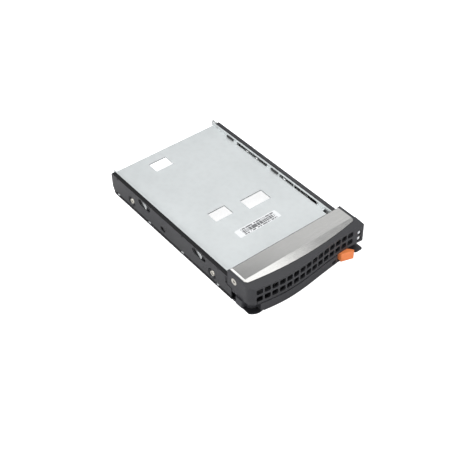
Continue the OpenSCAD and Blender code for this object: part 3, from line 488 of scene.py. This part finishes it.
# Pierced steel shielding sheet behind the vents, coloured near-black, which makes the view through
# the vent holes dark.
screen_black = coated("screen_black", colour=(0.012, 0.012, 0.013), bare=(0.05, 0.05, 0.05, 1),
                      roughness=0.5, grain_scale=1500.0, bump=0.2, wear=0.0)
screen = edged_copy("vent_screen", "tray", 0.05 * mm)
screen.data.materials.append(screen_black)

# ---- Cover ----
# A sheet of brushed steel laid in the bezel's top and hooked in along both sides; its front
# third is bent down a few degrees and catches the light.
brush_group, brush_in, brush_out = new_group("brush_lines", {"Contrast": 0.1}, ["Height", "Tone"])
brush_place = add(brush_group, "ShaderNodeTexCoord")
brush_long = add(brush_group, "ShaderNodeMapping", {},
                 {"Vector": brush_place.outputs["Object"], "Scale": (35.0, 5200.0, 5200.0)})
brush_fine = add(brush_group, "ShaderNodeTexNoise", {},
                 {"Vector": brush_long.outputs["Vector"], "Scale": 1.0, "Detail": 4.0,
                  "Roughness": 0.7})
brush_group.links.new(brush_fine.outputs["Fac"], brush_out.inputs["Height"])
brush_swing = combine(brush_group, brush_fine.outputs["Fac"], 0.5, "SUBTRACT")
brush_swing = combine(brush_group, brush_swing, brush_in.outputs["Contrast"])
brush_group.links.new(combine(brush_group, brush_swing, 1.0, "ADD"), brush_out.inputs["Tone"])

brushed, tree, shader = new_material("brushed_cover", 0.22)
shader.inputs["Metallic"].default_value = 1.0
lines = place_group(tree, brush_group, Contrast=0.35)
smudge = place_group(tree, smudge_group, Scale=22.0)
worn = place_group(tree, wear_group, Amount=0.8, Scale=250.0)
toned = add(tree, "ShaderNodeVectorMath", {"operation": "SCALE"},
            {0: (0.57, 0.565, 0.55), "Scale": lines.outputs["Tone"]}).outputs["Vector"]
tree.links.new(blend_colour(tree, worn.outputs["Worn"], toned, (0.92, 0.92, 0.9, 1)),
               shader.inputs["Base Color"])
tree.links.new(spread(tree, smudge.outputs["Smudge"], 0.0, 1.0, 0.15, 0.19),
               shader.inputs["Roughness"])
relief = add(tree, "ShaderNodeBump", {}, {"Height": lines.outputs["Height"], "Strength": 0.3,
                                          "Distance": 0.02 * mm})
tree.links.new(relief.outputs["Normal"], shader.inputs["Normal"])
cover_low, cover_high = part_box("bezel_cover")
cover = edged_copy("bezel_cover", "tray", 0.15 * mm,
                   fold_planes=(cover_low.x, cover_high.x), fold=1.2 * mm, top_only=True)
cover.data.materials.append(brushed)
# painted highlight: the front part of the cover's left edge is painted bright and matt, for the
# highlight along its fold
painted_highlight = coated("painted_highlight_edge", colour=(0.90, 0.90, 0.88), bare=(0.95, 0.95, 0.93, 1),
                roughness=0.4, grain_scale=2600.0, bump=0.2, wear=0.5)
cover.data.materials.append(painted_highlight)
highlight_x = cover_low.x + 1.5 * mm
highlight_y = cover_high.y - 15 * mm
split_faces(cover, (highlight_x, 0, 0), (1, 0, 0))
# the crease where the front is bent down stays crisp: its edges are sharp for the shading
bend = math.radians(2)
mesh = bmesh.new()
mesh.from_mesh(cover.data)
for edge in mesh.edges:
    if len(edge.link_faces) == 2 and min(face.normal.z for face in edge.link_faces) > 0.95:
        edge.smooth = edge.calc_face_angle(0) < bend
mesh.to_mesh(cover.data)
mesh.free()
for face in cover.data.polygons:
    face.material_index = int(face.center.x < highlight_x and face.center.y > highlight_y)

# ---- Light pipes ----
# Two square rods of clear acrylic that run along the right rail to the bezel's face. Their
# front ends are frosted, so that they show as two pale points. Black clips hold them.
acrylic, tree, shader = new_material("clear_acrylic", 0.12)
shader.inputs["IOR"].default_value = 1.49
shader.inputs["Transmission Weight"].default_value = 0.96
haze = place_group(tree, smudge_group, Scale=120.0)
tree.links.new(blend_colour(tree, haze.outputs["Smudge"], (0.90, 0.93, 0.92, 1),
                            (0.96, 0.97, 0.96, 1)), shader.inputs["Base Color"])
tree.links.new(spread(tree, haze.outputs["Smudge"], 0.0, 1.0, 0.08, 0.2),
               shader.inputs["Roughness"])
frosted = coated("frosted_end", colour=(0.88, 0.90, 0.90), bare=(1, 1, 1, 1), roughness=0.35,
                 grain_scale=1800.0, bump=0.25, wear=0.4)
frost_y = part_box("bezel")[0].y + 12 * mm  # the rods are frosted in front of this
for pipe_name in ("light_pipe_upper", "light_pipe_lower"):
    pipe = edged_copy(pipe_name, "tray", 0.12 * mm)
    pipe.data.materials.append(acrylic)
    pipe.data.materials.append(frosted)
    for face in pipe.data.polygons:
        face.material_index = int(face.center.y < frost_y)
clip_black = coated("clip_black", colour=(0.018, 0.018, 0.019), bare=(0.06, 0.06, 0.06, 1),
                    roughness=0.45, grain_scale=2500.0, bump=0.25, wear=0.3)
clips = edged_copy("light_pipe_clips", "tray", 0.12 * mm)
clips.data.materials.append(clip_black)

# ---- Label ----
# A white paper label stuck on the deck, printed with three rows of plain dark bars. Their
# widths are random and their print says nothing.
paper, tree, shader = new_material("label_paper", 0.6, 0.4)
label_low, label_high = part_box("deck_label")
label_mid = (label_low + label_high) / 2
label_place = add(tree, "ShaderNodeTexCoord")
centred = add(tree, "ShaderNodeMapping", {"vector_type": "POINT"},
              {"Vector": label_place.outputs["Object"],
               "Location": tuple(-label_mid)})
across = add(tree, "ShaderNodeSeparateXYZ", {}, {"Vector": centred.outputs["Vector"]})


def band(value, low, high, soft=0.05 * mm):
    """One inside a span of a value and zero outside, with soft edges."""
    rise = spread(tree, value, low - soft, low + soft, 0.0, 1.0)
    fall = spread(tree, value, high - soft, high + soft, 1.0, 0.0)
    return combine(tree, rise, fall)


def bar_row(pitch, low, high, share, shift):
    """A row of bars, pitch apart, between two heights on the label. share of the places in
    the row are inked, picked at random, and shift picks other ones."""
    column = combine(tree, across.outputs["X"], pitch, "DIVIDE")
    column = combine(tree, column, shift, "ADD")
    step = add(tree, "ShaderNodeMath", {"operation": "FLOOR"}, {0: column}).outputs[0]
    chance = add(tree, "ShaderNodeTexWhiteNoise", {"noise_dimensions": "1D"},
                 {"W": step}).outputs["Value"]
    ink = combine(tree, chance, share, "LESS_THAN")
    return combine(tree, ink, band(across.outputs["Y"], low, high))


bars = bar_row(pitch=0.42 * mm, low=-1.9 * mm, high=1.5 * mm, share=0.66, shift=40.0)
marks = bar_row(pitch=0.7 * mm, low=2.0 * mm, high=3.3 * mm, share=0.72, shift=7.0)
low_marks = bar_row(pitch=0.6 * mm, low=-3.6 * mm, high=-2.4 * mm, share=0.66, shift=91.0)
rows = combine(tree, combine(tree, bars, marks, "MAXIMUM"), low_marks, "MAXIMUM")
ink = combine(tree, rows, band(across.outputs["X"], -14.5 * mm, 16.5 * mm))
fibre = place_group(tree, grain_group, Scale=1400.0, Contrast=0.12)
sheet_white = add(tree, "ShaderNodeVectorMath", {"operation": "SCALE"},
                  {0: (0.86, 0.87, 0.88), "Scale": fibre.outputs["Tone"]}).outputs["Vector"]
tree.links.new(blend_colour(tree, combine(tree, ink, 0.85), sheet_white, (0.06, 0.06, 0.065, 1)),
               shader.inputs["Base Color"])
relief = add(tree, "ShaderNodeBump", {}, {"Height": fibre.outputs["Height"], "Strength": 0.15,
                                          "Distance": 0.02 * mm})
tree.links.new(relief.outputs["Normal"], shader.inputs["Normal"])
label = edged_copy("deck_label", "tray", 0.02 * mm)
label.data.materials.append(paper)

# ---- Handle ----
# A moulded bar that hinges on a steel pin at its left end. A torsion spring round the pin
# throws it open, and a nose beside the pin levers the tray out of its bay.
handle = edged_copy("handle", "handle", 0.3 * mm)
handle.data.materials.append(charcoal)
pin_steel = plated("pin_steel", colour=(0.62, 0.62, 0.60), roughness=0.25)
for pin_name in ("handle_pin", "tab_guide_pin"):
    pin = edged_copy(pin_name, "tray", 0.1 * mm)
    pin.data.materials.append(pin_steel)


def wound_spring(node, axis, wire, turns, material_used):
    """A wire of the given radius wound about the box of a CAD spring: a ring of points spun
    along its axis, which is 0 for X and 2 for Z."""
    turn_steps = 28
    low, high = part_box(node)
    half = (high - low) / 2
    radius = half[(axis + 1) % 3] - wire
    mesh = bmesh.new()
    turn_to_ring = Matrix.Rotation(math.radians(90), 4, "X")
    ring = bmesh.ops.create_circle(mesh, segments=10, radius=wire, cap_ends=False,
                                   matrix=Matrix.Translation((radius, 0, wire)) @ turn_to_ring)
    climb = 2 * half[axis] - 2 * wire
    steps = turns * turn_steps
    bmesh.ops.spin(mesh, geom=ring["verts"] + list(mesh.edges), cent=(0, 0, 0), axis=(0, 0, 1),
                   dvec=(0, 0, climb / steps), angle=2 * math.pi * turns, steps=steps,
                   use_merge=False, use_duplicate=False)
    open_edges = [edge for edge in mesh.edges if edge.is_boundary]
    bmesh.ops.holes_fill(mesh, edges=open_edges, sides=0)
    bmesh.ops.recalc_face_normals(mesh, faces=mesh.faces)
    for face in mesh.faces:
        face.smooth = len(face.verts) == 4
    bmesh.ops.translate(mesh, verts=mesh.verts, vec=(0, 0, -half[axis]))
    if axis == 0:
        bmesh.ops.rotate(mesh, verts=mesh.verts, matrix=Matrix.Rotation(math.radians(90), 3, "Y"))
    bmesh.ops.translate(mesh, verts=mesh.verts, vec=(low + high) / 2)
    piece = new_piece(node + "_wound", mesh, "tray", node)
    piece.data.materials.append(material_used)
    return piece


spring_wire = plated("spring_wire", colour=(0.55, 0.55, 0.54), roughness=0.28)
wound_spring("handle_spring", axis=2, wire=0.25 * mm, turns=5, material_used=spring_wire)

# ---- Release tab ----
# A tab moulded in orange plastic that slides under the bezel on a guide pin; a small
# compression spring pushes it back to the left, where its catch holds the handle.
orange = coated("orange_plastic", colour=(1.0, 0.29, 0.09), bare=(1.0, 0.42, 0.16, 1),
                roughness=0.36, grain_scale=2600.0, bump=0.25, wear=0.5)
tab = edged_copy("release_tab", "release_tab", 0.3 * mm)
tab.data.materials.append(orange)
release_spring = wound_spring("release_spring", axis=0, wire=0.2 * mm, turns=7,
                              material_used=spring_wire)
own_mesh(release_spring)
